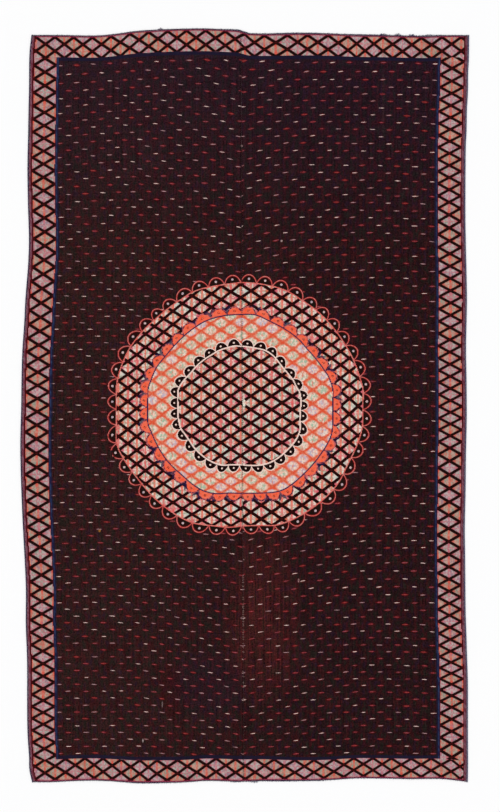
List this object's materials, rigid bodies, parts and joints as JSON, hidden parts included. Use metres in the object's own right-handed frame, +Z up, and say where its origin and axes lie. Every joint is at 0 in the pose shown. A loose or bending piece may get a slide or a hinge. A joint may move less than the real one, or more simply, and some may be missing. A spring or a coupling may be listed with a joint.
{
  "type": "serape",
  "caption": "Flat woven wool serape of halves joined along the middle, with a bound edge all round and short frayed ends; it lies flat on its underside.",
  "frame": {"origin": "middle of the cloth's footprint on the surface it lies on", "axes": "+X across the width to the right of the picture, +Y along the warp to the top of the picture, +Z up out of the face"},
  "size_m": [1.3334, 2.247, 0.0049],
  "materials": {
    "woven_wool": "matt woven wool",
    "edging_yarn": "matt wool yarn"
  },
  "bodies": {
    "root": {"left_panel": "woven_wool", "right_panel": "woven_wool", "left_edging": "edging_yarn", "right_edging": "edging_yarn", "top_edging": "edging_yarn", "bottom_edging": "edging_yarn"}
  },
  "joints": []
}
